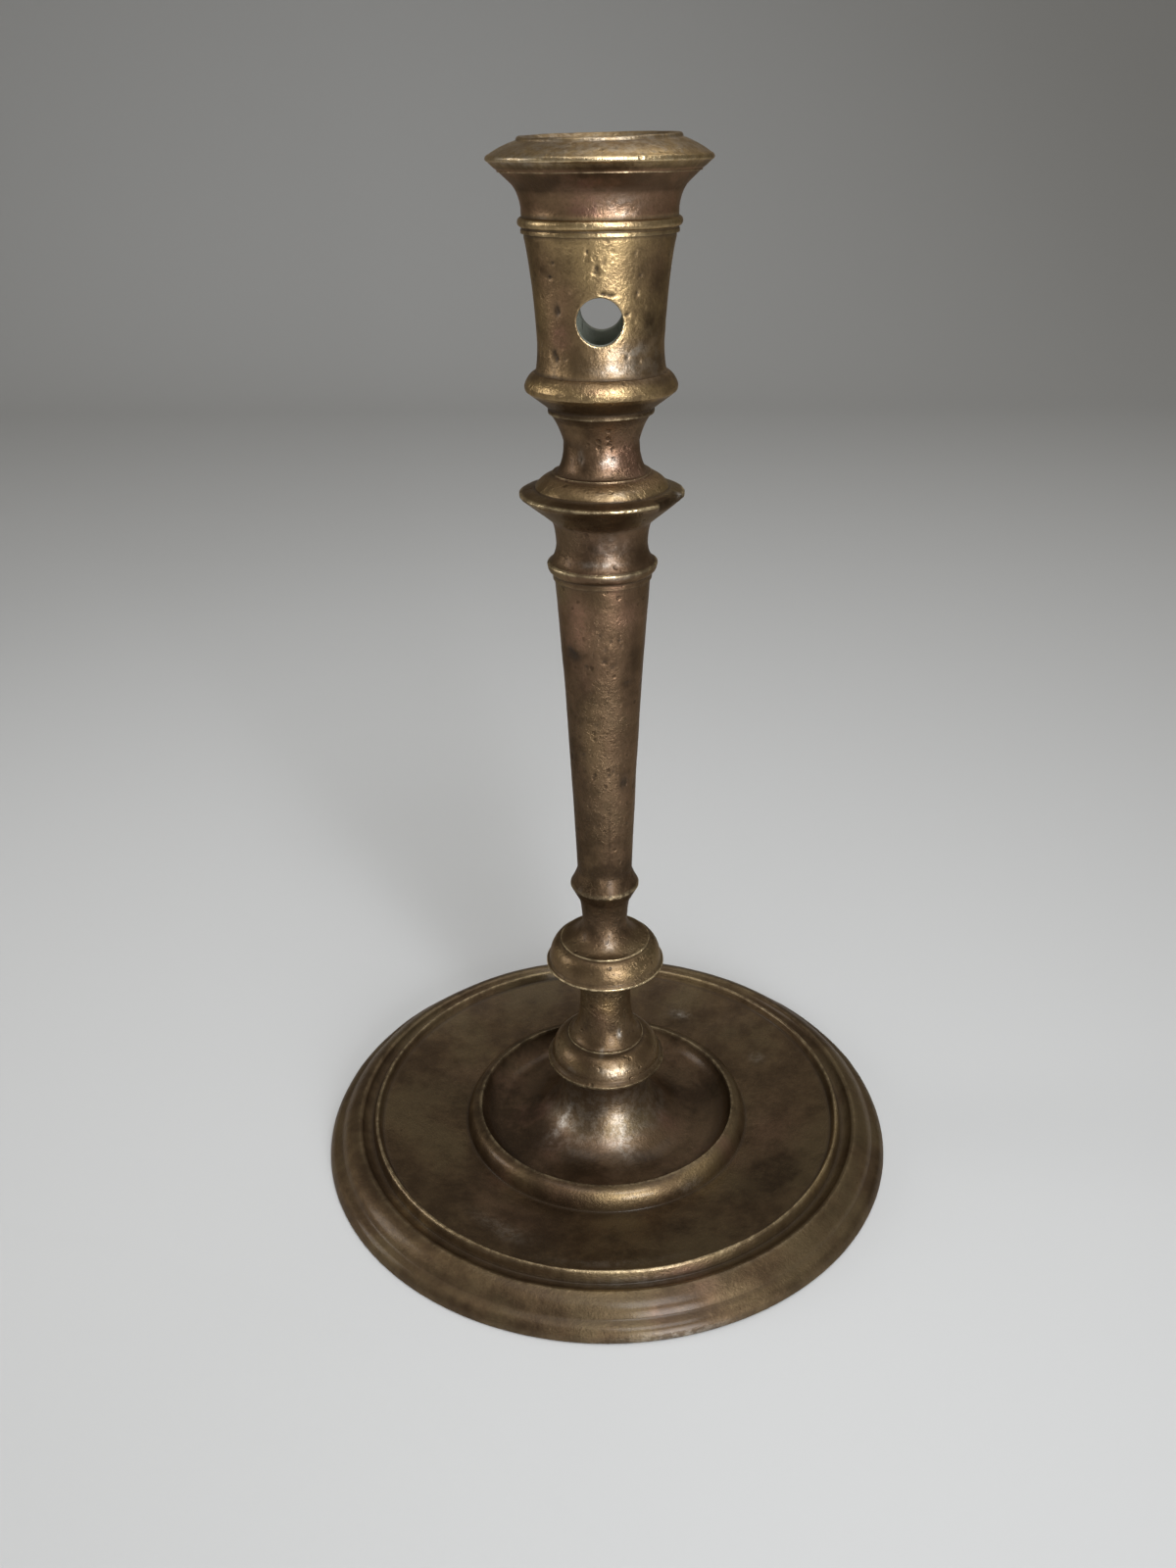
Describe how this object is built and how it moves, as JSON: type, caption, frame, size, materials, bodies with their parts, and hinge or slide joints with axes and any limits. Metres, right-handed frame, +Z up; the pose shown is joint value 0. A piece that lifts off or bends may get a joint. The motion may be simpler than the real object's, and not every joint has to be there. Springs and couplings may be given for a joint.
{
  "type": "bronze candlestick",
  "caption": "Turned bronze candlestick with a broad stepped foot and drip pan, a tapering knopped stem, and a pierced cylindrical candle socket.",
  "frame": {"origin": "centre of the ring that the foot stands on, at the level of the table", "axes": "+Z up along the axis that the candlestick is turned about; the two holes of the socket lie on the Y axis, so -Y is the front"},
  "size_m": [0.1602, 0.1602, 0.2618],
  "materials": {
    "foot_bronze": "dark brown patina over cast and turned bronze, worn to gold on the high edges",
    "stem_bronze": "golden brown patina over cast and turned bronze, with small casting pits",
    "tie_iron": "dark wrought iron"
  },
  "bodies": {
    "root": {"foot": "foot_bronze", "stem": "stem_bronze", "tie_stud": "tie_iron", "tie_washer": "tie_iron", "tie_nut": "tie_iron"}
  },
  "joints": []
}
